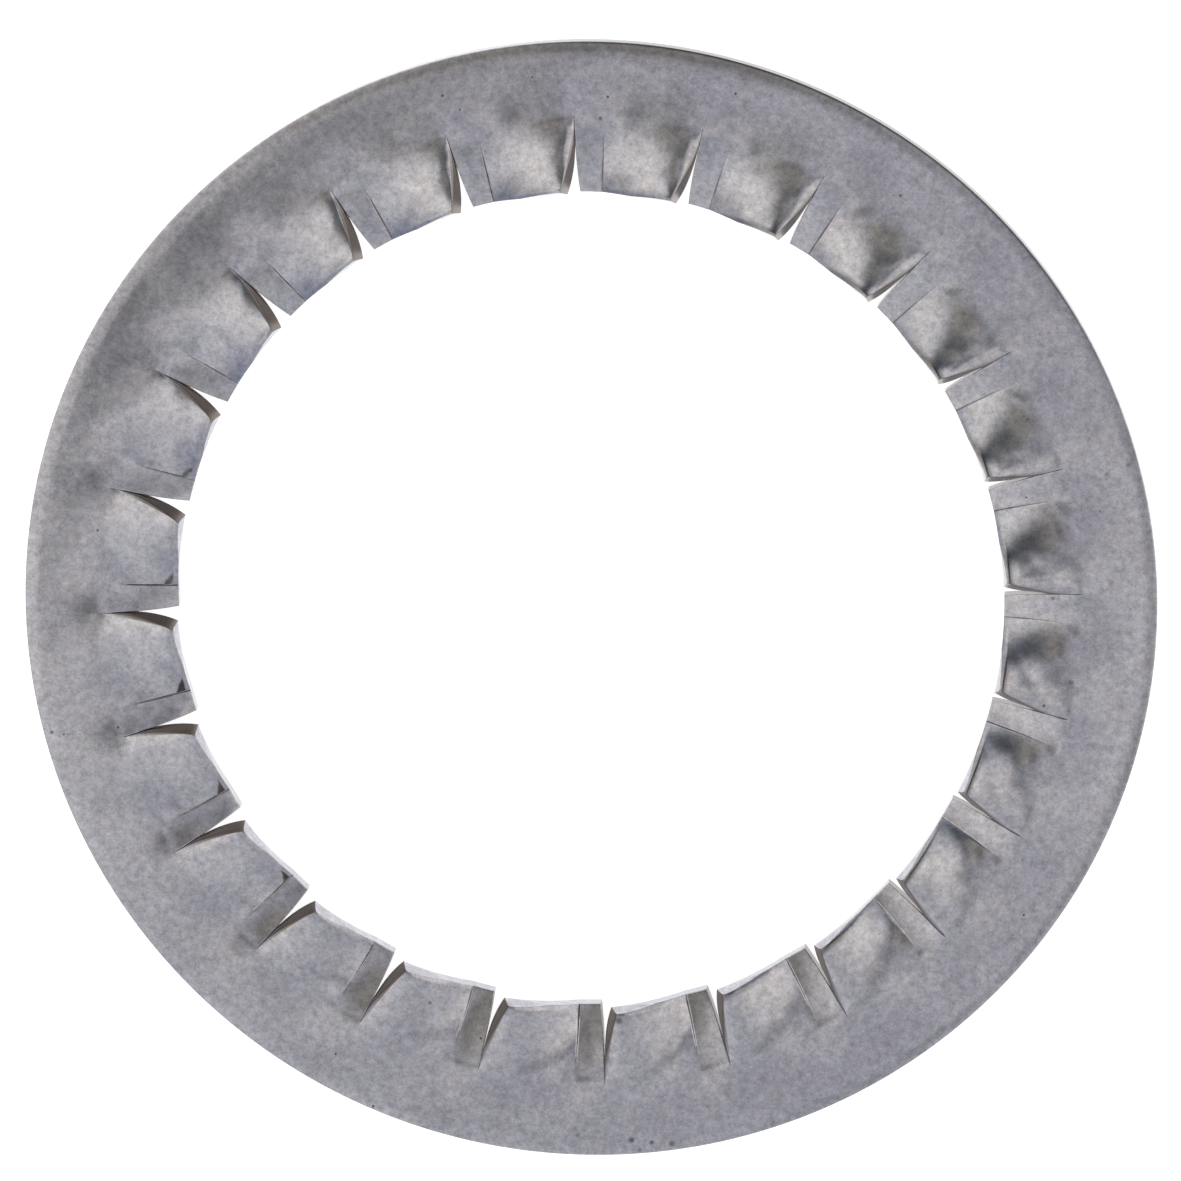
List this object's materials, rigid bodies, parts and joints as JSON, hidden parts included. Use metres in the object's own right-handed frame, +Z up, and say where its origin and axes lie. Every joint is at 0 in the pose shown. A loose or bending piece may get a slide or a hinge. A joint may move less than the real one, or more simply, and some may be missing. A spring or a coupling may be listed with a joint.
{
  "type": "toothed lock washer",
  "caption": "Flat ring pressed from spring sheet, its bore slit into short twisted teeth that bite the nut above and the seat below to stop a thread working loose.",
  "frame": {"origin": "centre of the bore, in the middle of the flat ring's sheet", "axes": "+Z up along the bore's axis, out of the face with the rolled-over rim; +Y is the top of the picture"},
  "size_m": [0.056, 0.056, 0.0029],
  "materials": {
    "sheet_steel": "tumbled satin, blank as punched, with darker sheared edges"
  },
  "bodies": {
    "root": {"lock_washer": "sheet_steel"}
  },
  "joints": []
}
